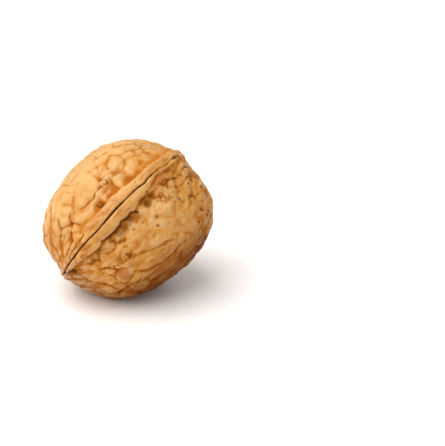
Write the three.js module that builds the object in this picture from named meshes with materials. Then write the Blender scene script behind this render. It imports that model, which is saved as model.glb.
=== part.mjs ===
// A whole walnut in its closed shell, lying on a small flat spot of its thicker half.
//
// The shell is shaped in the nut's own axes and then laid down: +X points out of the cheek of
// the thicker half, +Y out through the front of the seam and +Z to the pointed tip. A place on
// the shell is written as [angle, station]: degrees round the nut from the front seam towards
// +X, and mm from the middle towards the tip. All lengths are in mm.
import * as THREE from 'three';
import { mergeVertices } from 'three/addons/utils/BufferGeometryUtils.js';

// The shell without its ridge, measured from the middle
const HALF_LENGTH = 19.5;
const HALF_WIDTH = 17.5;
const THIN_HALF = { depth: 15.7, slide: 0.8 };
const THICK_HALF = { depth: 19.1, slide: -4.0 };
const FULLNESS = 2.2;
const SLIDE_POWER = 1.5;

// The welt along the seam, which runs right round the nut, and the closed seam line in it
const RIDGE = { height: 0.8, halfWidth: 2.9, shoulder: 1.5, narrowing: 0.45, narrowingPower: 4 };
const SEAM = { depth: 0.35, halfWidth: 0.7 };

// The nut as it lies: its length dips 41 degrees with the tip low, rolled so the seam shows
const LENGTH_TURN = -131;
const ROLL = -142;
const FLAT_DEPTH = 0.9;

// Facets along each edge of the cube that is blown up into the shell; even, so that one line of
// corners lies in the seam
const FACETS = 24;

// Swellings (+) and hollows (-) of the shell: [angle, station, radius, height]
const SWELLINGS = [
  [72, -16, 6, 1.4], [88, -12, 3.5, 0.25], [84, -5, 4, -0.7], [88, 4, 3, -0.35], [90, 13, 5, 0.35],
  [60, 17.4, 2.2, -0.7], [32, 18.8, 2, 0.35], [0, -18.5, 3, 0.5],
  [-76, -1.8, 2.5, 0.55], [-76, -8.5, 3, 0.6], [-74, 4, 3, -0.35], [-55, -17.5, 4.5, -1.5],
  [-70, 15.5, 3.5, 0.6], [-30, 18.6, 2.5, -0.8], [-60, 19.3, 2.5, -0.9],
  [-11, -7.6, 1.8, -0.6], [-12, -3.3, 2.0, -0.6], [-12, 1.5, 1.5, -0.7],
  [12, -5.3, 1.7, -0.5], [16, -9, 1.7, -0.5], [13, 1.5, 1.6, -0.5],
  [33, 6, 3, -0.3], [45, -1, 4, 0.3], [58, 4, 4, -0.3], [50, -9, 4, 0.25],
  [100, 3, 5, 0.35], [120, -7, 5, -0.3], [145, 5, 4, 0.3], [160, -4, 3, -0.4],
  [-30, -2, 4, 0.3], [-50, 6, 4, 0.25], [-100, 4, 5, 0.3], [-125, -6, 5, -0.3],
  [-150, 3, 4, 0.3], [-165, -9, 3, -0.4], [-45, -11, 4, 0.3], [127, 9, 5, 0.8], [124, 18, 3, -0.4],
];

// Furrows, each along a line of places: the trough beside the welt and grooves in the halves
const FURROWS = [
  { halfWidth: 1.2, depth: 0.7, line: [[13, -2.2], [10, 0], [10.5, 4], [9.5, 8]] },
  { halfWidth: 1.0, depth: 0.4, line: [[21, 3.5], [18, 7], [15, 11], [14, 14]] },
  { halfWidth: 1.0, depth: 0.5, line: [[-19, 9], [-22, 12.5], [-14, 16], [-6, 17.5]] },
  { halfWidth: 0.9, depth: 0.4, line: [[-15, 9.5], [-11, 12.5], [-8, 15.5]] },
  { halfWidth: 1.0, depth: 0.3, line: [[-17, -3], [-20, 1], [-18, 6]] },
  { halfWidth: 1.1, depth: 0.4, line: [[168, -8], [170, -2], [167, 4], [168, 9]] },
  { halfWidth: 1.1, depth: 0.4, line: [[-168, -3], [-170, 3], [-166, 9], [-168, 14]] },
];

// Furrows are measured from points set along them, this many for each place named above
const POINTS_PER_PLACE = 4;

// Low waves all over both halves, so that no stretch of shell is quite smooth. They fade away
// between the two distances from the seam. Each wave is [x, y, z, phase]: how fast it runs along
// each axis, and where it starts. The two waves of a pair are multiplied, and the pairs added.
const WAVES = { height: 0.14, length: 5.5, fade: [2, 5] };
const WAVE_PAIRS = [
  [[1, 0.5, 0, 0], [0, 1, -0.4, 1]],
  [[0.3, 0, 0.7, 2], [-0.5, 0.6, 0, 0]],
];

const degrees = THREE.MathUtils.degToRad;
const half = (x) => (x < 0 ? THIN_HALF : THICK_HALF);

// The sum of powers that is 1 on the smooth shell
function fullnessSum(x, y, z) {
  return Math.abs(x / half(x).depth) ** FULLNESS
    + Math.abs(y / HALF_WIDTH) ** FULLNESS + Math.abs(z / HALF_LENGTH) ** FULLNESS;
}

// Each cheek is fullest a little to one side of the middle, so the shell slides along there
function slide(point) {
  const { depth, slide: distance } = half(point.x);
  const out = Math.abs(point.x / depth) ** SLIDE_POWER;
  point.z += distance * out * (1 - (point.z / HALF_LENGTH) ** 2);
  return point;
}

// The point of the smooth shell at a place
function onShell([angle, station]) {
  const x = Math.sin(degrees(angle));
  const y = Math.cos(degrees(angle));
  const left = 1 - Math.abs(station / HALF_LENGTH) ** FULLNESS;
  const radius = (left / fullnessSum(x, y, 0)) ** (1 / FULLNESS);
  return slide(new THREE.Vector3(x * radius, y * radius, station));
}

// The direction square to the smooth shell, before the slide
function outward(point) {
  const slope = (value, size) => Math.sign(value) * Math.abs(value / size) ** (FULLNESS - 1) / size;
  return new THREE.Vector3(slope(point.x, half(point.x).depth), slope(point.y, HALF_WIDTH),
    slope(point.z, HALF_LENGTH)).normalize();
}

// 1 in the middle of a hollow or furrow, fading to 0 past its edge
const bell = (distance, width) => Math.exp(-((distance / width) ** 2));

function ridgeHeight(x, z) {
  const narrowed = 1 - RIDGE.narrowing * (z / HALF_LENGTH) ** RIDGE.narrowingPower;
  const fall = THREE.MathUtils.smoothstep(
    Math.abs(x), (RIDGE.halfWidth - RIDGE.shoulder) * narrowed,
    (RIDGE.halfWidth + RIDGE.shoulder) * narrowed);
  return RIDGE.height * (1 - fall) - SEAM.depth * bell(x, SEAM.halfWidth);
}

const swellings = SWELLINGS.map(([angle, station, radius, height]) => (
  { centre: onShell([angle, station]), radius, height }));

const furrows = FURROWS.map(({ halfWidth, depth, line }) => {
  const curve = new THREE.CatmullRomCurve3(line.map(onShell));
  return { halfWidth, depth, points: curve.getSpacedPoints(POINTS_PER_PLACE * line.length) };
});

function waveHeight(point) {
  const turn = 2 * Math.PI / WAVES.length;
  const wave = ([x, y, z, phase]) => (
    Math.sin(turn * (x * point.x + y * point.y + z * point.z) + phase));
  let height = 0;
  for (const [one, other] of WAVE_PAIRS) {
    height += WAVES.height * wave(one) * wave(other);
  }
  return height * THREE.MathUtils.smoothstep(Math.abs(point.x), ...WAVES.fade);
}

function reliefHeight(point, x, z) {
  let height = ridgeHeight(x, z) + waveHeight(point);
  for (const swelling of swellings) {
    height += swelling.height * bell(point.distanceTo(swelling.centre), swelling.radius);
  }
  for (const furrow of furrows) {
    const nearest = Math.min(...furrow.points.map((place) => point.distanceTo(place)));
    height -= furrow.depth * bell(nearest, furrow.halfWidth);
  }
  return height;
}

// A corner of the cube becomes a point of the smooth shell, then is raised or sunk by the relief
function shellPoint(corner) {
  const even = (value) => Math.tan(value * Math.PI / 4);
  const point = new THREE.Vector3(even(corner.x), even(corner.y), even(corner.z));
  point.multiplyScalar(fullnessSum(point.x, point.y, point.z) ** (-1 / FULLNESS));
  const out = outward(point);
  const { x, z } = point;
  slide(point);
  return point.addScaledVector(out, reliefHeight(point, x, z));
}

// The flat spot: nothing reaches further down than FLAT_DEPTH above the lowest point
function flatten(points, down) {
  const limit = Math.max(...points.map((point) => point.dot(down))) - FLAT_DEPTH;
  for (const point of points) {
    point.addScaledVector(down, Math.min(0, limit - point.dot(down)));
  }
}

function shellGeometry(down) {
  const cube = new THREE.BoxGeometry(2, 2, 2, FACETS, FACETS, FACETS);
  cube.deleteAttribute('normal');
  cube.deleteAttribute('uv');
  const geometry = mergeVertices(cube);
  const corners = geometry.attributes.position;
  const points = [];
  for (let i = 0; i < corners.count; i += 1) {
    points.push(shellPoint(new THREE.Vector3().fromBufferAttribute(corners, i)));
  }
  flatten(points, down);
  points.forEach(({ x, y, z }, i) => corners.setXYZ(i, x, y, z));
  geometry.computeVertexNormals();
  return geometry;
}

const lie = new THREE.Euler(0, degrees(LENGTH_TURN), degrees(ROLL));
const intoNut = new THREE.Quaternion().setFromEuler(lie).invert();
const down = new THREE.Vector3(0, 0, -1).applyQuaternion(intoNut);

// Dry walnut shell: matt, light brown wood
const shell = new THREE.MeshStandardMaterial({ color: 0xca8c4c, roughness: 0.6, metalness: 0 });
const walnut = new THREE.Mesh(shellGeometry(down), shell);
walnut.name = 'walnut';
walnut.rotation.copy(lie);

// The origin is under the middle of the nut, in the plane that the flat spot rests on
walnut.updateMatrixWorld();
const box = new THREE.Box3().setFromObject(walnut, true);
const middle = box.getCenter(new THREE.Vector3());
walnut.position.set(-middle.x, -middle.y, -box.min.z);

const model = new THREE.Group();
model.add(walnut);

export default model;
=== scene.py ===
import math

import bpy
import numpy as np
from mathutils import Matrix, Vector, noise
from mathutils.bvhtree import BVHTree


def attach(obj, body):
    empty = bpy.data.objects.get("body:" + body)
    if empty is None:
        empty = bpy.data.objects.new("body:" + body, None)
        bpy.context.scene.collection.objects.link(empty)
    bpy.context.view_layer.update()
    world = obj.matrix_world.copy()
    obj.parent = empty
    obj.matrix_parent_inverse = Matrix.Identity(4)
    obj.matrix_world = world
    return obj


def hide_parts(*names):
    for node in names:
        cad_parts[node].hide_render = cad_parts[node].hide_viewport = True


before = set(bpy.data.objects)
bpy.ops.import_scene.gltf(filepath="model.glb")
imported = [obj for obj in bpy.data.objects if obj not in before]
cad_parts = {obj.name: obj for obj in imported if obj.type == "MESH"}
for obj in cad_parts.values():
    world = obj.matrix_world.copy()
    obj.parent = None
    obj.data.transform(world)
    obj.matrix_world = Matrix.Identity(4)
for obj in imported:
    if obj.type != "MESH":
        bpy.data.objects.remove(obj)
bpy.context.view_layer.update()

# ---- The walnut's shell --------------------------------------------------------------------
# The dry woody stone of the fruit: two halves grown together along a raised welt, in one piece.
# It is grown, not made, so its cube is blown up onto the solid shell's surface, and its welt,
# furrows and pits are then raised and sunk corner by corner.
MM = 0.001
# Where the middle of the nut's own axes is, in mm from the origin under the nut
NUT_MIDDLE = Vector((-0.645, 0.668, 18.439))
# As it lies, its length dips with the tip low, and it is rolled so that the seam shows
LENGTH_TURN = math.radians(-131)
ROLL = math.radians(-142)
LIE = Matrix.Rotation(LENGTH_TURN, 3, "Y") @ Matrix.Rotation(ROLL, 3, "Z")

# The smooth shell in the nut's own axes, in mm: x out of the thicker half's cheek, y out through
# the front of the seam, z to the tip. Each half's fullest point is slid along z.
HALF_LENGTH = 19.5
HALF_WIDTH = 17.5
FULLNESS = 2.2
THIN_DEPTH, THIN_SLIDE = 15.7, 0.8
THICK_DEPTH, THICK_SLIDE = 19.1, -4.0
SLIDE_POWER = 1.5

# Corners crowd towards the seam, where the detail is finest
CUTS = 100
CROWDING = 0.07
CROWDED_WIDTH = 0.1


def faded(value, low, high):
    # 0 up to low, rising softly to 1 at high
    part = np.clip((value - low) / (high - low), 0, 1)
    return part * part * (3 - 2 * part)


def between(value, rise, fall):
    # 1 between the end of the rise and the start of the fall, fading to 0 past them
    return faded(value, *rise) * (1 - faded(value, *fall))


def bell(distance, width):
    return np.exp(-((distance / width) ** 2))


def half_depth(x):
    return np.where(x < 0, THIN_DEPTH, THICK_DEPTH)


def fullness_sum(x, y, z):
    # The sum of powers that is 1 on the smooth shell, before it slides
    return (np.abs(x / half_depth(x)) ** FULLNESS + np.abs(y / HALF_WIDTH) ** FULLNESS
            + np.abs(z / HALF_LENGTH) ** FULLNESS)


def slid(x, y, z):
    slide = np.where(x < 0, THIN_SLIDE, THICK_SLIDE)
    shift = slide * np.abs(x / half_depth(x)) ** SLIDE_POWER * (1 - (z / HALF_LENGTH) ** 2)
    return np.stack([x, y, z + shift], axis=-1)


def on_shell(angle, station):
    # The point at a place: degrees round from the front seam towards +x, mm towards the tip
    x, y = math.sin(math.radians(angle)), math.cos(math.radians(angle))
    girth = 1 - abs(station / HALF_LENGTH) ** FULLNESS
    radius = (girth / fullness_sum(x, y, 0)) ** (1 / FULLNESS)
    return slid(x * radius, y * radius, station)


# The seam's crack wanders from side to side: (station, mm to the thicker half's side)
CRACK_PATH = [
    (-19.5, 0.0), (-18, 0.5), (-16, 0.65), (-14.5, 0.7), (-13, 0.4), (-12, 0.1), (-10, 0.16),
    (-9, 0.4), (-8, 0.2), (-6, 0.0), (-4, 0.0), (-2, -0.06), (0, -0.06), (2, 0.03), (4, 0.12),
    (6, 0.19), (8, 0.0), (12, 0.0), (14, 0.09), (16, 0.13), (18, 0.23), (19.5, 0.1),
]
# How wide and deep it gapes: (station, times as much as usual)
CRACK_STRENGTH = [
    (-19.5, 0.1), (-17.5, 0.45), (-16, 0.35), (-13, 0.45), (-11.5, 0.8), (-8, 1), (-4, 0.8),
    (-1, 1.2), (2, 1.3), (4, 0.9), (8, 0.8), (13, 1.1), (19.5, 1.4),
]
# The two edges of the welt: (station, mm to the thicker half's side)
WELT_LEFT = [
    (-19.5, -1.2), (-17.5, -1.7), (-15, -1.6), (-12, -2.0), (-9.3, -1.9), (-7.5, -2.2), (-5.8, -2.2),
    (-5, -2.8), (-3, -2.7), (-1.2, -2.9), (1.5, -2.6), (5, -2.6), (7.5, -2.5), (9, -1.9), (12, -2.2),
    (14, -2.0), (16, -1.6), (18, -1.2), (19.5, -0.8),
]
WELT_RIGHT = [
    (-19.5, 1.1), (-16, 1.3), (-13, 1.3), (-11.5, 1.1), (-10, 1.5), (-8, 1.9), (-6, 2.0), (-4.5, 2.6),
    (-3, 3.2), (-2, 2.9), (-0.8, 3.0), (0.6, 2.7), (2, 3.2), (4, 3.2), (5.8, 2.9), (7.7, 2.7),
    (9, 3.0), (11, 2.4), (13, 1.9), (15, 1.5), (17, 1.1), (19.5, 0.8),
]
# How deep the shell is hollowed right beside each edge of the welt: (station, mm)
HOLLOW_LEFT = [
    (-19.5, 0.1), (-11, 0.15), (-9.8, 0.6), (-9, 0.35), (-7.8, 0.9), (-6.4, 0.5), (-5.4, 0.1),
    (-4.4, 0.3), (-3.2, 0.7), (-2.0, 0.9), (-1.0, 0.3), (-0.5, 0.1), (0.4, 0.7), (1.4, 1.0), (2.6, 0.6),
    (3.4, 0.1), (7, 0.15), (12, 0.1), (19.5, 0),
]
HOLLOW_RIGHT = [
    (-19.5, 0.1), (-12, 0.2), (-9, 0.3), (-7, 0.2), (-5.4, 0.3), (-4.2, 0.1), (-3.2, 0.2), (-2.3, 0.6),
    (-1, 0.7), (0, 0.6), (1.2, 0.8), (2.5, 0.7), (4.2, 0.7), (5.8, 0.6), (7, 0.3), (8.6, 0.25),
    (9.6, 0.35), (12, 0.25), (16, 0.2), (19.5, 0),
]
LEFT_HOLLOW_WIDTH = 2.0
RIGHT_HOLLOW_WIDTH = 1.2
# How dark the painted shadow is under the welt's right side, which overhangs: (station, part)
OVERHANG_SHADOW = [
    (-19.5, 0), (-12, 0), (-10.5, 0.4), (-9, 0.1), (-6, 0.1), (-4.5, 0.3), (-3, 0.9), (0, 0.8),
    (3, 0.9), (6, 0.8), (9, 0.6), (12, 0.45), (16, 0.4), (18.5, 0.6), (19.5, 0),
]


def along_seam(path, station):
    # What the path says at a station
    stations, values = np.array(path).T
    return np.interp(station, stations, values)


bpy.ops.object.select_all(action="DESELECT")
bpy.ops.mesh.primitive_cube_add(size=2)
nut = bpy.context.object
nut.name = "walnut_shell"
bpy.ops.object.mode_set(mode="EDIT")
bpy.ops.mesh.select_all(action="SELECT")
bpy.ops.mesh.subdivide(number_cuts=CUTS)
bpy.ops.object.mode_set(mode="OBJECT")
shell_mesh = nut.data
corner_count = len(shell_mesh.vertices)

cube = np.empty(corner_count * 3)
shell_mesh.vertices.foreach_get("co", cube)
cube = cube.reshape(-1, 3)
cube_x = cube[:, 0]
cube[:, 0] = (1 + CROWDING) * cube_x - CROWDING * np.tanh(cube_x / CROWDED_WIDTH)
# The tangent spreads the cube's corners evenly over the ball
ball = np.tan(cube * math.pi / 4)
ball /= np.linalg.norm(ball, axis=1, keepdims=True)
angle_round = np.arctan2(ball[:, 0], ball[:, 1])
from_tip = np.arccos(ball[:, 2])

# The back of the seam repeats the front, turned half round the nut's length. Front is 1 on the
# front of the nut and -1 on its back.
TURNING_WIDTH = 0.15
front = np.clip(ball[:, 1] / TURNING_WIDTH, -1, 1)

# The rows of corners beside the seam follow its crack
FOLLOWING_WIDTH = 4.0
even_shell = ball * (fullness_sum(*ball.T) ** (-1 / FULLNESS))[:, None]
wander = along_seam(CRACK_PATH, even_shell[:, 2]) * front
even_shell[:, 0] += wander * bell(even_shell[:, 0], FOLLOWING_WIDTH)
even_shell *= (fullness_sum(*even_shell.T) ** (-1 / FULLNESS))[:, None]
across, outwards, along = even_shell.T
smooth_shell = slid(across, outwards, along)

ends = np.empty(len(shell_mesh.edges) * 2, dtype=np.int64)
shell_mesh.edges.foreach_get("vertices", ends)
one_end, other_end = ends.reshape(-1, 2).T
neighbours = np.bincount(ends, minlength=corner_count)


def smoothed(values, rounds):
    # Each corner takes the mean of its neighbours, again and again
    for _ in range(rounds):
        total = (np.bincount(one_end, values[other_end], corner_count)
                 + np.bincount(other_end, values[one_end], corner_count))
        values = total / neighbours
    return values


# Each corner goes out from the middle to the solid's surface, whose facets are smoothed away
SMOOTHING_ROUNDS = 30
solid = BVHTree.FromObject(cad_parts["walnut"], bpy.context.evaluated_depsgraph_get())
lie = np.array(LIE)
reach = []
for direction in smooth_shell @ lie.T:
    heading = Vector(direction)
    *_, far = solid.ray_cast(NUT_MIDDLE * MM, heading)
    reach.append(far / MM / heading.length)
shell = smooth_shell * smoothed(np.array(reach), SMOOTHING_ROUNDS)[:, None]


def place_corners(points):
    world = points @ lie.T + np.array(NUT_MIDDLE)
    world[:, 2] = np.maximum(world[:, 2], 0)
    shell_mesh.vertices.foreach_set("co", (world * MM).ravel())
    shell_mesh.update()


def outward():
    # The direction square to the surface at each corner, in the nut's own axes
    normals = np.empty(corner_count * 3)
    shell_mesh.vertices.foreach_get("normal", normals)
    return normals.reshape(-1, 3) @ lie


def noise_at(points, size, seed, stretch=1.0):
    # Smooth noise from -1 to 1 with lumps size mm wide, and stretch times longer along the nut
    scaled = points / (size, size, size * stretch) + seed
    return np.array([noise.noise(point) for point in scaled.tolist()])


SEED_STEP = 17.3


def jostled(points, size, amount, seed):
    # The points pushed about, so that what is measured from them has wandering edges
    moved = [noise_at(points, size, seed + SEED_STEP * axis) for axis in range(3)]
    return points + amount * np.stack(moved, axis=-1)


def in_plates(per_radius, per_radian, bend, seed):
    # A corner's place counted in plates round the nut and along it, so that the plates grow narrow
    # towards both ends; bend is how far their edges wander
    places = np.stack([per_radius * np.sin(angle_round), per_radius * np.cos(angle_round),
                       per_radian * from_tip], axis=-1)
    return jostled(places, size=1.5, amount=bend, seed=seed)


def plate_edge(places):
    # 0 on the furrow between two plates, rising to about 1 in the middle of a plate
    nearest = np.array([noise.voronoi(place)[0][:2] for place in places.tolist()])
    return nearest[:, 1] - nearest[:, 0]


def line_distance(points, places):
    # How far each point is from the line through the places
    stops = np.array([on_shell(*place) for place in places])
    nearest = np.full(len(points), np.inf)
    for start, stop in zip(stops[:-1], stops[1:]):
        run = stop - start
        part = np.clip((points - start) @ run / (run @ run), 0, 1)
        gap = points - start - part[:, None] * run
        nearest = np.minimum(nearest, np.linalg.norm(gap, axis=1))
    return nearest


def place_distance(points, angle, station):
    return np.linalg.norm(points - on_shell(angle, station), axis=1)


# Furrows of the front: (depth, half width, dirt, places). Those of the back are the same, turned
# half round. The dirt in one goes from 0, none, to 1.
FURROWS = [
    # Between the long plates of the thin half near the tip
    (0.42, 0.24, 0.2, [(-57, 9.6), (-45.5, 12.1), (-41.5, 13.9), (-36, 15.9), (-24, 16.4), (-8, 17.2)]),
    (0.32, 0.22, 0.0, [(-40.5, 11), (-37.5, 12.9), (-31.5, 13.9)]),
    (0.50, 0.22, 0.1, [(-26.5, 7.5), (-26, 8), (-21, 9.4), (-24, 10.6), (-26.5, 11.8)]),
    (0.45, 0.22, 0.1, [(-34.5, 10.6), (-26.5, 11.8), (-24, 13.5), (-19, 14.9), (-7.5, 16.6)]),
    (0.45, 0.24, 0.2, [(-20.5, 9.4), (-14.5, 11.3), (-9, 13), (-7, 14.6), (-4.5, 16)]),
    (0.33, 0.22, 0.0, [(-9.5, 7.2), (-5, 8.9), (-4, 10.9), (-4, 13.1), (-2, 14.8)]),
    (0.38, 0.24, 0.1, [(-21, 9.1), (-14, 7.9), (-9, 5.7), (-7.5, 3)]),
    (0.22, 0.25, 0.0, [(-21.5, 8.3), (-20, 6.5), (-17, 4.1), (-16.5, 3)]),
    (0.22, 0.22, 0.0, [(-31.5, 4.3), (-25, 6.2), (-22.5, 8)]),
    # Round the plates of the thin half, from the stem end on
    (0.25, 0.25, 0.0, [(-41, -8.7), (-36, -7.1), (-29, -6.2), (-24, -6.2), (-19.5, -8.1), (-23.5, -9.6),
                       (-28.5, -10.2), (-35.5, -9.9), (-41, -8.7)]),
    (0.28, 0.25, 0.0, [(-24, -6.2), (-26, -4.4), (-27.5, -3)]),
    (0.28, 0.25, 0.0, [(-17, -8.1), (-20.5, -6.4), (-21.5, -4.6), (-15, -4.3), (-8.5, -4.4)]),
    (0.35, 0.24, 0.2, [(-27.5, -3), (-22, -4.1), (-19.5, -3.8), (-20.5, -2.9), (-22, -1.9)]),
    (0.32, 0.26, 0.1, [(-22, -1.9), (-21, 0.1), (-18.5, 1.2), (-20, 3), (-21.5, 4.7)]),
    (0.20, 0.24, 0.0, [(-35.5, 2.8), (-30, 4.5), (-25, 5.1)]),
    (0.18, 0.24, 0.0, [(-49.5, 6.1), (-51, 5.1), (-50.5, 4)]),
    (0.20, 0.24, 0.0, [(-42, -2.6), (-33.5, -2.9), (-28, -3.1)]),
    (0.20, 0.24, 0.0, [(-43, -4.9), (-35, -4.7), (-30, -3.3)]),
    # Soft ones on the thin half's cheek
    (0.22, 0.35, 0.0, [(-76, -4), (-63, -6), (-50.5, -6.4)]),
    (0.18, 0.30, 0.0, [(-74, 1.9), (-69.5, -0.1), (-57.5, -1.4)]),
    (0.25, 0.25, 0.0, [(-75, 11), (-74.5, 13), (-55, 14.5)]),
    # The dirty bottom of a pocket beside the welt
    (0.40, 0.24, 0.8, [(-13.5, 2), (-11, 1.4), (-10, 0.1)]),
    # Strokes on the stem end of the welt
    (0.25, 0.20, 0.2, [(0, -13), (2.5, -14.2), (3, -15.3), (3, -16.5), (3, -17.5), (5.5, -18.4)]),
    (0.22, 0.18, 0.1, [(-3, -13.7), (-3.5, -14.9), (-6.5, -16.3), (-8, -17.1), (-7, -18.3)]),
    (0.18, 0.16, 0.1, [(0, -15.2), (-3, -16.6), (-3, -17.5)]),
    (0.18, 0.18, 0.1, [(3.5, -12.9), (6.5, -14.2), (7.5, -15.9), (7.5, -16.7)]),
    (0.22, 0.18, 0.2, [(5.5, -10.4), (3.5, -11.2), (4, -12.1), (5, -12.8)]),
    # The trough under the edge of the welt, its dirt partly dirt and partly painted shadow under that
    # edge
    (0.40, 0.35, 0.9, [(13.5, -3.2), (11.5, -2.9), (9.5, -2), (11, -1.2), (10.5, -0.1), (9.2, 0.8),
                       (10.5, 2), (10.3, 4), (9.5, 5.8), (9, 7.1)]),
    (0.40, 0.30, 0.6, [(9.8, -5), (9.4, -6.5), (10.5, -7.6), (12, -7.9)]),
    (0.30, 0.22, 0.6, [(11, -11.3), (14.5, -11.9), (15.5, -13.1), (15.5, -13.9)]),
    (0.20, 0.22, 0.4, [(15, -8), (17, -8.4), (18, -9.2)]),
    # From the tip into the thick half
    (0.35, 0.34, 1.0, [(1, 18.6), (5.5, 17.6), (8.5, 17.1), (11, 16.4)]),
    (0.20, 0.25, 0.5, [(11, 16.4), (13.5, 15.8), (15, 14.8)]),
    # Fine strokes on the lips of the welt
    (0.15, 0.16, 0.0, [(4.5, 0.4), (5.5, -1.1)]),
    (0.15, 0.15, 0.7, [(6, -2.6), (7.4, -2.9), (9, -2.8)]),
    (0.16, 0.16, 0.2, [(3.2, -1), (4.4, 2), (3.9, 5), (4.4, 8), (3.4, 11), (2.5, 14)]),
    (0.18, 0.15, 0.1, [(6.4, 1), (7, 3.2), (6.4, 5)]),
    (0.20, 0.16, 0.1, [(-6.8, 5.6), (-5.2, 4.2), (-3.8, 2.2), (-3, 0.6), (-3.4, -0.8)]),
    (0.20, 0.15, 0.1, [(-6.6, 2.8), (-5, 2), (-3.8, 2.2), (-2.4, 3.4), (-2.2, 5.2), (-3, 7.5)]),
    (0.18, 0.15, 0.1, [(-3.5, -2), (-4, -5), (-3.2, -8), (-3.6, -10)]),
    (0.20, 0.16, 0.1, [(-5.6, 7.4), (-4.6, 9.2), (-4, 11.5), (-3, 13.8)]),
    (0.15, 0.15, 0.4, [(-6, -0.7), (-5.2, -1.3)]),
    # Beside the stem end of the welt
    (0.25, 0.28, 0.4, [(12.8, -10.2), (12, -9), (12.6, -7.9)]),
    (0.25, 0.22, 0.5, [(16, -12.8), (17.5, -12.5), (17.3, -11.7)]),
    (0.22, 0.18, 0.3, [(4.2, -12.5), (4.5, -11.7), (5.6, -11), (6, -10.2), (5.4, -9.3)]),
    # Short ones beside the trough
    (0.50, 0.28, 0.8, [(18.7, 5.1), (20, 4.4), (21, 3.9)]),
    (0.20, 0.16, 0.3, [(21, 3.9), (23, 3)]),
    (0.20, 0.18, 0.2, [(20.5, 6.5), (17.5, 7.6), (15, 8.9)]),
    (0.18, 0.16, 0.2, [(13, 4.8), (15, 5), (15.5, 5.8)]),
    # The thick half's small crack, and the plates round it
    (0.40, 0.20, 0.9, [(27, 12.4), (28.5, 11.5), (31, 11.3), (33.5, 10.9), (36.5, 10.5)]),
    (0.35, 0.20, 0.9, [(31, 10.2), (33.5, 10.8)]),
    (0.25, 0.20, 0.2, [(29, 11.3), (28, 10.1), (28.5, 9.1), (28.5, 8.2), (32.5, 8.3), (34.5, 8.5)]),
    (0.28, 0.20, 0.2, [(26.5, 12.8), (30.5, 12.9), (35, 13.2), (35.5, 12.5), (37.5, 12), (40.5, 12.1)]),
    (0.32, 0.22, 0.2, [(36.5, 10.5), (39, 11.7), (40.5, 12.1), (43.5, 12.2), (47.5, 12.3), (52, 12.1)]),
    (0.35, 0.25, 0.3, [(53, 11.7), (49.5, 10.3), (47, 8.7)]),
    (0.30, 0.24, 0.2, [(19.5, 16.5), (26.5, 16.4), (34, 16.3), (38, 15.8), (41.5, 15.3), (45, 14.6)]),
    (0.30, 0.24, 0.3, [(45, 14.6), (50, 14.1), (56.5, 13.8), (60, 13.3)]),
    (0.25, 0.22, 0.2, [(40.5, 16.6), (45.5, 16.4), (51, 16.1), (56.5, 15.9)]),
    (0.30, 0.25, 1.0, [(70, 14.7), (64.5, 14), (65.5, 13.6)]),
    (0.25, 0.22, 0.4, [(55, 12), (61.5, 12.4), (66, 13)]),
    (0.40, 0.30, 0.5, [(63.5, 19), (49.5, 18.1), (49, 17.4)]),
    # Between the trough and that crack
    (0.25, 0.20, 0.8, [(16, 13.1), (17.5, 12.4), (18.5, 11.4)]),
    (0.35, 0.22, 0.4, [(13, 6.3), (14.5, 5.7), (17.5, 5.8), (19.5, 6.6), (20.5, 7.7), (20, 8.9),
                       (17.5, 9.3)]),
    (0.28, 0.22, 0.2, [(34.5, 8.5), (28.5, 7.8), (24.5, 6.7), (24, 5.7), (25, 4.6)]),
    # At the stem end of the thick half, most of them full of dirt
    (0.25, 0.25, 1.0, [(31.5, -17.7), (34.5, -17.4)]),
    (0.20, 0.18, 0.8, [(22, -10.9), (25.5, -10.9)]),
    (0.30, 0.30, 1.0, [(42.5, -14.7), (44.5, -14.1), (42, -13.5)]),
    (0.20, 0.22, 0.8, [(60, -17.2), (62.5, -17)]),
    (0.20, 0.25, 0.9, [(60.5, -15.9), (62, -15.5)]),
    (0.20, 0.22, 0.2, [(8, -17.7), (16, -16.8), (21.5, -15.7)]),
    (0.22, 0.20, 0.2, [(3, -11.7), (4.5, -12.9), (6.5, -14.3), (10.5, -15.5)]),
    # Two wide, soft ones along the thick half
    (0.25, 0.50, 0.0, [(46, -2), (43, 0), (40, 2.5), (37, 4.5), (35, 6)]),
    (0.28, 0.55, 0.0, [(55, -1.5), (56, 1), (57, 3), (55, 5), (50, 8)]),
]

# Each furrow is a groove in a soft valley, which is VALLEY times as wide. The groove has this
# share of the furrow's depth, and the valley the rest.
VALLEY = 3.5
GROOVE_SHARE = 0.6

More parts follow.
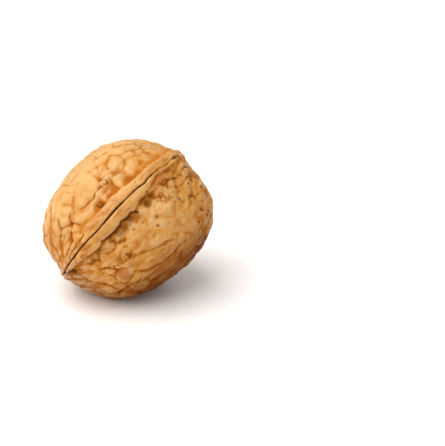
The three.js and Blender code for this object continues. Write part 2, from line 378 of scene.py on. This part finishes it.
# Hollows of the front, and bumps where the depth is below 0: (angle, station, radius, depth, dirt)
PITS = [
    (-11.5, -7.6, 1.2, 0.3, 0.0), (-12.5, -3.6, 1.2, 0.25, 0.0), (-12.2, 0.9, 0.7, 0.35, 0.55),
    (-54, 9.5, 0.6, 0.2, 0.0), (-30, -13.2, 0.7, 0.35, 0.1), (-50, -12, 0.8, 0.2, 0.0),
    (-22, -15, 0.8, 0.3, 0.1), (-55, -7, 0.8, 0.2, 0.0), (-15, -12.5, 0.8, 0.25, 0.0),
    (-30, -8.2, 1.6, -0.25, 0.0), (-14.5, -6.3, 1.5, -0.2, 0.0), (-14, 5.5, 1.8, -0.2, 0.0),
    (20, -17.6, 2.4, -0.75, 0.0), (5, -18.1, 0.45, 0.4, 1.0), (46, -17.8, 1.3, 0.4, 0.3),
    (14, -6.3, 1.4, 0.9, 0.5), (13, -8.3, 0.7, 0.5, 0.5), (15.2, -10.4, 0.9, -0.3, 0.0),
    (12.5, -12.4, 1.1, 0.3, 0.15), (9.5, -15.6, 0.6, -0.3, 0.0), (3.5, -17.4, 0.5, 0.3, 1.0),
    (12, 16.9, 1.2, 0.1, 0.7),
    (13.8, -1.6, 1.5, 0.5, 0.1), (13.2, 1.6, 1.2, 0.35, 0.1), (13, 9.2, 0.4, 0.35, 0.8),
    (15, 9.9, 0.3, 0.25, 0.6), (16.5, 11.9, 0.35, 0.25, 0.7), (14.5, 13.1, 0.35, 0.2, 0.5),
    (34.5, 5.2, 0.35, 0.3, 0.5), (32.5, 6.2, 0.45, 0.35, 0.6), (30.5, 6.5, 0.3, 0.25, 0.4),
    (32, 7.6, 0.3, 0.25, 0.4), (31, 9, 0.8, 0.25, 0.3), (30.5, -3.3, 0.4, 0.3, 0.4),
    (26, -5, 0.45, 0.25, 0.4), (23, 1.5, 0.3, 0.2, 0.2), (64, 0, 1.2, 0.35, 0.2),
    (56, -3.2, 0.9, 0.3, 0.2), (48, -6.5, 1.0, 0.25, 0.0), (40, 9, 1.4, -0.2, 0.0),
    (16.5, 7, 1.2, -0.3, 0.0), (70, -9, 1.3, 0.3, 0.1), (68, 8, 1.3, 0.3, 0.1),
]

# Orange patches where the husk's stain went into the wood: (angle, station, radius, part)
RUST_SPOTS = [
    (43.5, 10.5, 1.8, 1.0), (32, 9.3, 0.5, 1.0), (38, 8.2, 1.2, 0.5), (31.5, 6.6, 1.6, 0.8),
    (62, 6, 2.5, 0.6), (52, 13.5, 1.5, 0.5), (68, 1, 2.5, 0.6), (57, -15, 1.8, 0.5),
    (-38, 14.5, 1.4, 0.5), (-14, 12.5, 1.2, 0.4),
]

# Dark flecks of old husk, closest together at the stem end of the thick half: (angle, station)
FLECKS = [
    (31, -17.8), (32.5, -17.4), (25, -16.1), (33.5, -17), (48, -18.3), (17, -18.2), (27, -18.4),
    (60, -17), (53.5, -16.2), (44.5, -14.1), (39.5, -12.7), (62, -16), (55.5, -14.2), (22, -10.8),
    (25.5, -10.6), (24, -13.4), (21, -16.9), (4, -17.7), (18, -19), (14.5, -13.4), (14, -11.6),
    (42, -13.6), (50, -15), (29, -15.2), (36, -14.4), (19, -9), (30, -3.1), (28, -5.6), (16, -2.5),
    (17.5, -1), (19, 0.8), (15.5, 0.4), (20.5, -1.6), (70, 11), (65.5, 14), (75, 13.6), (48.5, 16),
    (44.5, 14.8), (33.5, 5.6), (30.5, 6.4), (33.5, 6.7), (34, 7.7), (13.5, 9.3), (17.5, 9.5),
    (18.5, 11.4), (16.5, 12.9), (-5, -8), (-6, -1.3), (-22, -2.4), (58, -9), (66, -13),
]
FLECK_SIZES = (0.4, 0.22, 0.3, 0.18, 0.35)
FLECK_DEPTH = 0.08

# Pale clouds of the husk's waxy bloom on the front: (angle, station, radius, part)
BLOOMS = [(28, -5, 8, 0.9), (-40, 9, 5, 0.9)]

place_corners(shell)
bulge = outward()
ragged = jostled(jostled(smooth_shell, size=3.0, amount=0.35, seed=5.0),
                 size=0.9, amount=0.16, seed=41.0)
torn = jostled(ragged, size=0.5, amount=0.5, seed=43.0)
bent = jostled(smooth_shell, size=2.5, amount=0.9, seed=71.0)

# The welt stands up between its two edges as two round lips, with the crack between them, and
# the shell is hollowed beside them. Heights and widths are in mm. Side is across on the front, and
# the other way at the back, which repeats the front turned half round.
WELT_STEP = 0.3
WELT_EDGE = (-0.15, 0.2)
EDGE_WOBBLE = 0.2
WELT_LUMP = 0.12
LIP_DOME = 0.22
LIP_ROUNDNESS = 0.7
CRACK_DEPTH = 0.6
CRACK_HALF_WIDTH = 0.17
CRACK_WOBBLE = 0.05
HOLLOW_EDGE = (-0.15, 0.3)
side = across * np.sign(front)
left_edge = along_seam(WELT_LEFT, along)
right_edge = along_seam(WELT_RIGHT, along)
wobble = EDGE_WOBBLE * noise_at(smooth_shell, size=1.0, seed=3.0)
beyond_left = left_edge - side + wobble
beyond_right = side - right_edge + wobble
on_welt = 1 - faded(np.maximum(beyond_left, beyond_right), *WELT_EDGE)
off_welt = 1 - on_welt
crack_wobble = CRACK_WOBBLE * noise_at(smooth_shell, size=0.8, seed=7.0)
crack_side = along_seam(CRACK_PATH, along) + crack_wobble
from_crack = np.abs(side - crack_side)
strength = along_seam(CRACK_STRENGTH, along)
# Where it gapes less, it is narrower too
crack = bell(from_crack, CRACK_HALF_WIDTH * (0.55 + 0.45 * strength)) * np.minimum(1, strength)
# From 0 beside the crack to 1 at the welt's edge
lip_part = np.clip(np.where(side < crack_side, (crack_side - side) / (crack_side - left_edge),
                            (side - crack_side) / (right_edge - crack_side)), 0, 1)
lip_dome = (4 * lip_part * (1 - lip_part)) ** LIP_ROUNDNESS
relief = WELT_STEP * on_welt + LIP_DOME * lip_dome - CRACK_DEPTH * strength * crack
relief += WELT_LUMP * noise_at(smooth_shell, size=1.4, seed=93.0, stretch=2.0) * on_welt
trough = np.zeros(corner_count)
for beyond, depths, width in ((beyond_left, HOLLOW_LEFT, LEFT_HOLLOW_WIDTH),
                              (beyond_right, HOLLOW_RIGHT, RIGHT_HOLLOW_WIDTH)):
    steep = faded(beyond, *HOLLOW_EDGE)
    trough += along_seam(depths, along) * steep * np.exp(-np.maximum(beyond, 0) / width)
relief -= trough

# Fine strands run along the lips, deeper at the stem end. The shift gives the back other strands
# than the front.
STRAND_DEPTH = 0.11
STEM_END_STRAND_DEPTH = 0.05
BACK_SHIFT = 40
stem_end = faded(-along, 9, 16)
seam_plane = np.stack([across, 0 * across, smooth_shell[:, 2]], axis=-1)
swayed = seam_plane + 0.3 * noise_at(smooth_shell, size=3.0, seed=91.0)[:, None]
strand = noise_at(swayed + front[:, None] * BACK_SHIFT, size=0.42, seed=9.0, stretch=12.0)
strands = (1 - faded(np.abs(strand), 0.0, 0.28)) * on_welt
relief -= (STRAND_DEPTH + STEM_END_STRAND_DEPTH * stem_end) * strands

# Plates with furrows between them, long and narrow towards the ends, deeper in some stretches than
# in others. The furrows keep their width in mm where the plates grow narrow.
BIG_PLATES = 4.2
SMALL_PLATES = 8.0
FURROW_EDGE = 0.23
BIG_FURROW_DEPTH = 0.20
SMALL_FURROW_DEPTH = 0.08
PLATE_DOME = 0.26
THICK_SIDE_FLATTER = 0.1
rough = noise_at(smooth_shell, size=7.0, seed=61.0)
near_tip = faded(along, 2, 14)
thick_side = faded(across, -1, 3)
big_plates = plate_edge(in_plates(BIG_PLATES, per_radian=3.2, bend=0.45, seed=11.0))
small_plates = plate_edge(in_plates(SMALL_PLATES, per_radian=7.0, bend=0.4, seed=23.0))
half_girth = np.hypot(across, outwards) / 2
big_furrows = 1 - faded(big_plates * half_girth / BIG_PLATES, 0.0, FURROW_EDGE)
big_furrows *= faded(rough + 0.5 * near_tip, -0.3, 0.5)
small_furrows = 1 - faded(small_plates * half_girth / SMALL_PLATES, 0.0, FURROW_EDGE)
small_furrows *= faded(rough, -0.3, 0.4)
relief -= off_welt * BIG_FURROW_DEPTH * big_furrows
relief -= off_welt * SMALL_FURROW_DEPTH * small_furrows * (0.4 + 0.6 * thick_side)
relief += off_welt * (PLATE_DOME - THICK_SIDE_FLATTER * thick_side) * faded(big_plates, 0, 0.6)

# Soft lumps of a few sizes, higher on the thick half, with long folds there, and finer lumps all
# over: (height, size, seed, stretch)
LUMPS = ((0.22, 2.6, 35.0, 1.6), (0.12, 1.4, 36.0, 1.6))
FINE_LUMPS = ((0.06, 0.8, 37.0, 1.5), (0.03, 0.45, 39.0, 1.0))
FOLD_HEIGHT = 0.11
for height, size, seed, stretch in LUMPS:
    lump = height * noise_at(bent, size, seed, stretch)
    relief += off_welt * lump * (0.6 + 0.4 * thick_side)
folds = 1 - faded(np.abs(noise_at(bent, size=2.0, seed=38.0, stretch=3.0)), 0.0, 0.35)
relief += off_welt * FOLD_HEIGHT * folds * thick_side
for height, size, seed, stretch in FINE_LUMPS:
    relief += height * noise_at(smooth_shell, size, seed, stretch)

# How orange-brown the furrows are, from 0 to 1, partly their own brown and partly painted shade,
# and with them painted shade in the deeper pockets to the left of the welt
POCKET_DEPTHS = (0.3, 0.7)
pocket_shade = np.interp(trough, POCKET_DEPTHS, (0, 1)) * (side < 0)
furrow_tone_and_shade = np.maximum(off_welt * (0.5 * big_furrows + 0.2 * small_furrows), crack)
furrow_tone_and_shade = np.maximum(furrow_tone_and_shade, 0.5 * strands)
furrow_tone_and_shade = np.maximum(furrow_tone_and_shade, 0.4 * pocket_shade)

# Painted shadow falls under the welt's overhanging side, dark at its edge and olive in the trough
# below it. Rust is where the husk's stain went into the welt, most of all near the tip.
overhang_shadow = along_seam(OVERHANG_SHADOW, along)
stain_and_shadow = overhang_shadow * bell(beyond_right - 0.15, 0.3)
olive_shade_and_dirt = overhang_shadow * between(beyond_right, (0, 0.3), (1.0, 3.6))
olive_shade_and_dirt *= faded(noise_at(torn, size=1.2, seed=95.0), -0.5, 0.2)
rust_cloud = faded(noise_at(bent, size=1.2, seed=97.0, stretch=2.0), -0.4, 0.5)
rust = (0.4 + 0.3 * faded(along, 4, 12)) * on_welt * rust_cloud

# Furrows and pits are cut, tinted with brown and painted shade, and dirtied one by one. A furrow's
# tint is full from FULL_TINT_DEPTH on, and a pit's never goes past PIT_TINT.
FULL_TINT_DEPTH = 0.33
TINT_POWER = 1.3
FULL_TINT_PIT = 0.5
PIT_TINT = 0.6
for half_turn in (0, 180):
    for depth, half_width, dirt, places in FURROWS:
        turned = [(angle + half_turn, station) for angle, station in places]
        gap = line_distance(ragged, turned)
        groove = bell(gap, half_width)
        valley = bell(gap, VALLEY * half_width)
        relief -= depth * (GROOVE_SHARE * groove + (1 - GROOVE_SHARE) * valley)
        tint = min(1, (depth / FULL_TINT_DEPTH) ** TINT_POWER)
        furrow_tone_and_shade = np.maximum(furrow_tone_and_shade, groove * tint)
        stain_and_shadow = np.maximum(stain_and_shadow, dirt * groove)
    for angle, station, radius, depth, dirt in PITS:
        gap = place_distance(ragged, angle + half_turn, station)
        pit = bell(gap, radius)
        relief -= depth * pit
        furrow_tone_and_shade = np.maximum(furrow_tone_and_shade, pit * min(1, depth / FULL_TINT_PIT) * PIT_TINT)
        stain_and_shadow = np.maximum(stain_and_shadow, dirt * bell(gap, radius * 0.8))
        olive_shade_and_dirt = np.maximum(olive_shade_and_dirt, min(1, 1.6 * dirt) * pit)
    for angle, station, radius, part in RUST_SPOTS:
        gap = place_distance(bent, angle + half_turn, station)
        rust = np.maximum(rust, part * bell(gap, radius))
    for number, (angle, station) in enumerate(FLECKS):
        gap = place_distance(torn, angle + half_turn, station)
        fleck = bell(gap, FLECK_SIZES[number % len(FLECK_SIZES)])
        relief -= FLECK_DEPTH * fleck
        stain_and_shadow = np.maximum(stain_and_shadow, fleck)

# The relief goes in as much as out, so the nut keeps its size
relief -= np.average(relief, weights=off_welt)
place_corners(shell + bulge * relief[:, None])

# What the wood's colour follows is kept with each corner. Hollow runs from -1 where a corner
# stands out from the shell near it to 1 where it is sunk, and deep is 1 where it is sunk in the
# shell further off too. They paint shade into what is sunk and light onto what stands out.
FULLY_HOLLOW = 0.14
FULLY_DEEP = 0.5
hollow = np.clip((smoothed(relief, rounds=20) - relief) / FULLY_HOLLOW, -1, 1)
deep_shade = np.clip((smoothed(relief, rounds=200) - relief) / FULLY_DEEP, 0, 1)

# The thick half's cheek, which lies low, is darkened with painted shade, and the thin half is
# paled with painted light
degrees_round = np.degrees(angle_round)
cheek = between(degrees_round, (30, 90), (120, 165)) * between(along, (-19, -2), (11, 19.3))
bloom_and_lit_side = 0.7 * faded(across, 1, -8) * (0.75 + 0.5 * noise_at(bent, size=4.0, seed=54.0))
bloom_and_lit_side += 0.3 * faded(across, -7, -13)
bloom_cloud = faded(noise_at(bent, size=1.8, seed=55.0), -0.7, 0.5)
for angle, station, radius, part in BLOOMS:
    bloom = part * bloom_cloud * bell(place_distance(ragged, angle, station), radius)
    bloom_and_lit_side = np.maximum(bloom_and_lit_side, bloom)

# The tip, fine grain along the nut, and the stem end's small specks and squiggles
tip = faded(along, 10, 19.3)
grain = 1 - faded(np.abs(noise_at(bent, size=0.9, seed=52.0, stretch=2.5)), 0.0, 0.3)
squiggle = 1 - faded(plate_edge(in_plates(15.0, per_radian=11.0, bend=2.0, seed=57.0)), 0.0, 0.12)
squiggle *= 0.8 * faded(noise_at(smooth_shell, size=1.7, seed=59.0), 0.0, 0.3)
speck = noise_at(torn, size=0.8, seed=51.0, stretch=1.6)
speck = faded(speck + 0.4 * noise_at(smooth_shell, size=3.0, seed=53.0), 0.35, 0.6)
flecked = faded(-along, 6, 15) * faded(across, 0.5, 4) * np.clip(front, 0, 1)
flecked *= np.maximum(speck, squiggle)

tints = {
    "hollow": hollow, "deep_shade": deep_shade, "furrow_and_shade": furrow_tone_and_shade, "stain_and_shadow": stain_and_shadow, "crack": crack,
    "cheek": cheek, "flecked": flecked, "tip": tip, "grain": grain, "bloom_and_lit_side": bloom_and_lit_side,
    "olive_shade_and_dirt": olive_shade_and_dirt, "rust": rust, "beak": tip * thick_side,
}
for name, values in tints.items():
    attribute = shell_mesh.attributes.new(name, "FLOAT", "POINT")
    attribute.data.foreach_set("value", values.astype(np.float32))
shell_mesh.shade_smooth()


def linear(hex_colour):
    # An sRGB hex colour as linear red, green, blue and alpha
    parts = [int(hex_colour[i:i + 2], 16) / 255 for i in (1, 3, 5)]
    return [p / 12.92 if p <= 0.04045 else ((p + 0.055) / 1.055) ** 2.4 for p in parts] + [1]


def add(tree, kind, settings=None, values=None, links=None):
    # Adds a node with its settings, the values of its sockets and the links into them
    node = tree.nodes.new(kind)
    for key, value in (settings or {}).items():
        setattr(node, key, value)
    for key, value in (values or {}).items():
        node.inputs[key].default_value = value
    for key, source in (links or {}).items():
        tree.links.new(source, node.inputs[key])
    return node


# Walnut wood, grown and dried: plain tan wood, with painted shade, orange-brown, where it is sunk
# and painted light where it stands out, and the faint sheen of a handled nut
LIGHT_WOOD = "#C68D42"
PALE_BLOOM_AND_LIGHT = "#CBA369"
WARM_WOOD = "#AF6A1D"
ORANGE_SHADE = "#A35808"
DEEP_BROWN_AND_SHADE = "#7B3402"
CHEEK_SHADE = "#8C603A"
RUST_WOOD = "#9E5208"
OLIVE_SHADE_AND_DIRT = "#70430F"
GREY_WOOD = "#6D4928"
DIRT_AND_SHADOW = "#3C2608"
SEAM_SHADE = "#1E0E06"
# A colour mix names its sockets by number, because their names come more than once
FACTOR, UNDER, OVER, MIXED = 0, 6, 7, 2

wood = bpy.data.materials.new("dried_walnut_shell")
wood.use_nodes = True
tree = wood.node_tree
tree.nodes.clear()
place = add(tree, "ShaderNodeTexCoord").outputs["Object"]

# Clouds of colour and grain, each with its size in mm
mask = {}
for name, size in {"patches": 5.0, "mottle": 0.9, "pores": 0.35, "fibres": 1.1}.items():
    cloud = add(tree, "ShaderNodeTexNoise", None, {"Scale": 1 / (size * MM), "Detail": 3.0},
                {"Vector": place})
    mask[name] = cloud.outputs["Fac"]
for name in tints:
    mask[name] = add(tree, "ShaderNodeAttribute", {"attribute_name": name}).outputs["Fac"]

# Each layer of colour: (colour, mask, where it starts, where it is full, how much covers). The
# cheek's painted shade darkens what is under it, and the others cover it.
tone = None
for colour, name, low, high, most in (
    # Painted light paling the thin half, together with the pale clouds of the husk's bloom
    (WARM_WOOD, "patches", 0.35, 0.7, 0.8), (PALE_BLOOM_AND_LIGHT, "bloom_and_lit_side", 0.0, 1.0, 0.85),
    (WARM_WOOD, "tip", 0.0, 0.6, 0.5), (GREY_WOOD, "beak", 0.4, 1.0, 0.6),
    (WARM_WOOD, "grain", 0.2, 1.0, 0.25),
    # Painted light on raised plates, paler where they stand out
    (PALE_BLOOM_AND_LIGHT, "hollow", -0.1, -0.9, 0.35), (WARM_WOOD, "mottle", 0.45, 0.75, 0.35),
    (RUST_WOOD, "rust", 0.2, 0.7, 0.65),
    # Painted shade, orange, where the shell is sunk, near and further off
    (ORANGE_SHADE, "deep_shade", 0.0, 1.0, 0.6), (ORANGE_SHADE, "hollow", 0.1, 1.0, 0.52),
    # The furrows' own brown with painted shade, darker where deeper, then painted shadow in olive under
    # the welt's overhang, with olive dirt in dirty pits
    (DEEP_BROWN_AND_SHADE, "furrow_and_shade", 0.3, 1.0, 0.85), (OLIVE_SHADE_AND_DIRT, "olive_shade_and_dirt", 0.0, 1.0, 0.7),
    (DIRT_AND_SHADOW, "flecked", 0.1, 0.9, 0.9),
    # Painted shade multiplied onto the thick half's cheek, then dirt and painted shadow under the
    # welt's overhanging edge
    (CHEEK_SHADE, "cheek", 0.0, 1.0, 0.85), (DIRT_AND_SHADOW, "stain_and_shadow", 0.1, 0.9, 0.8),
    # Painted shade, near black, in the gap of the seam's crack
    (SEAM_SHADE, "crack", 0.25, 0.8, 1.0),
):
    cover = add(tree, "ShaderNodeMapRange", {"interpolation_type": "SMOOTHSTEP"},
                {"From Min": low, "From Max": high, "To Max": most}, {"Value": mask[name]})
    blend = "MULTIPLY" if name == "cheek" else "MIX"
    layer = add(tree, "ShaderNodeMix", {"data_type": "RGBA", "blend_type": blend},
                {UNDER: linear(LIGHT_WOOD), OVER: linear(colour)}, {FACTOR: cover.outputs["Result"]})
    if tone:
        tree.links.new(tone, layer.inputs[UNDER])
    tone = layer.outputs[MIXED]

# Pores and fibres roughen it, and both are finer than the geometry
BUMP_HEIGHT = 0.12
rough_grain = add(tree, "ShaderNodeMath", {"operation": "ADD"}, None,
                  {0: mask["pores"], 1: mask["fibres"]})
fine_bump = add(tree, "ShaderNodeBump", None, {"Strength": 0.5, "Distance": BUMP_HEIGHT * MM},
                {"Height": rough_grain.outputs[0]})
# Raised plates shine a little, and what is sunk, or on the cheek, stays dull
gloss = add(tree, "ShaderNodeMapRange", None,
            {"From Min": -0.5, "From Max": 0.6, "To Min": 0.36, "To Max": 0.75},
            {"Value": mask["hollow"]})
raised = add(tree, "ShaderNodeMapRange", None,
             {"From Min": -0.4, "From Max": 0.5, "To Min": 0.34, "To Max": 0.06},
             {"Value": mask["hollow"]})
handled = add(tree, "ShaderNodeMapRange", None,
              {"From Min": 0.0, "From Max": 0.7, "To Min": 1.0, "To Max": 0.1},
              {"Value": mask["cheek"]})
sheen = add(tree, "ShaderNodeMath", {"operation": "MULTIPLY"}, None,
            {0: raised.outputs["Result"], 1: handled.outputs["Result"]})
surface = add(tree, "ShaderNodeBsdfPrincipled", None, {"IOR": 1.5},
              {"Base Color": tone, "Roughness": gloss.outputs["Result"],
               "Specular IOR Level": sheen.outputs["Value"],
               "Normal": fine_bump.outputs["Normal"]})
add(tree, "ShaderNodeOutputMaterial", None, None, {"Surface": surface.outputs["BSDF"]})
nut.data.materials.append(wood)

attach(nut, "root")
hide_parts("walnut")

# ---- The floor -----------------------------------------------------------------------------
# A plain white table top of satin laminate, much larger than the nut. It lies in the plane that
# the nut rests on, and shines only slightly.
FLOOR_SIZE = 3.0
FLOOR_WHITE = "#F4F3F2"
bpy.ops.object.select_all(action="DESELECT")
bpy.ops.mesh.primitive_plane_add(size=FLOOR_SIZE)
floor = bpy.context.object
floor.name = "floor"
white = bpy.data.materials.new("white_laminate")
white.use_nodes = True
sheet = white.node_tree.nodes["Principled BSDF"]
sheet.inputs["Base Color"].default_value = linear(FLOOR_WHITE)
sheet.inputs["Roughness"].default_value = 0.35
floor.data.materials.append(white)

# ---- Light ---------------------------------------------------------------------------------
# One large soft panel high on the left, which faces the nut, and a pale room all round. Places
# and sizes are in metres.
PANEL_PLACE = Vector((-0.5, 0.0, 0.9))
PANEL_SIZE = 1.4
PANEL_POWER = 17.3
ROOM_COLOUR = "#FFFBF6"
ROOM_STRENGTH = 0.7
lamp = bpy.data.lights.new("key_panel", "AREA")
lamp.shape = "SQUARE"
lamp.size = PANEL_SIZE
lamp.energy = PANEL_POWER
panel = bpy.data.objects.new("key_panel", lamp)
panel.location = PANEL_PLACE
panel.rotation_euler = (-PANEL_PLACE).to_track_quat("-Z", "Y").to_euler()
bpy.context.scene.collection.objects.link(panel)
room = bpy.data.worlds.new("pale_room")
room.use_nodes = True
background = room.node_tree.nodes["Background"]
background.inputs["Color"].default_value = linear(ROOM_COLOUR)
background.inputs["Strength"].default_value = ROOM_STRENGTH
bpy.context.scene.world = room
bpy.context.scene.view_settings.view_transform = "Standard"

# ---- Camera --------------------------------------------------------------------------------
# It looks down at 25 degrees from the front left, through a long lens, with the nut at the left.
# Distances are in metres.
AZIMUTH = math.radians(-23.9)
ELEVATION = math.radians(25.0)
CAMERA_DISTANCE = 0.5
LENS = 170.3
NUT_LEFT_OF_AIM = 0.0238
NUT_ABOVE_AIM = 0.0018
back = Vector((math.sin(AZIMUTH) * math.cos(ELEVATION), -math.cos(AZIMUTH) * math.cos(ELEVATION),
               math.sin(ELEVATION)))
right = Vector((math.cos(AZIMUTH), math.sin(AZIMUTH), 0))
aim = NUT_MIDDLE * MM + right * NUT_LEFT_OF_AIM - back.cross(right) * NUT_ABOVE_AIM
eye = bpy.data.cameras.new("camera")
eye.lens = LENS
eye.sensor_width = 36.0
camera = bpy.data.objects.new("camera", eye)
camera.location = aim + back * CAMERA_DISTANCE
camera.rotation_euler = back.to_track_quat("Z", "Y").to_euler()
bpy.context.scene.collection.objects.link(camera)
bpy.context.scene.camera = camera
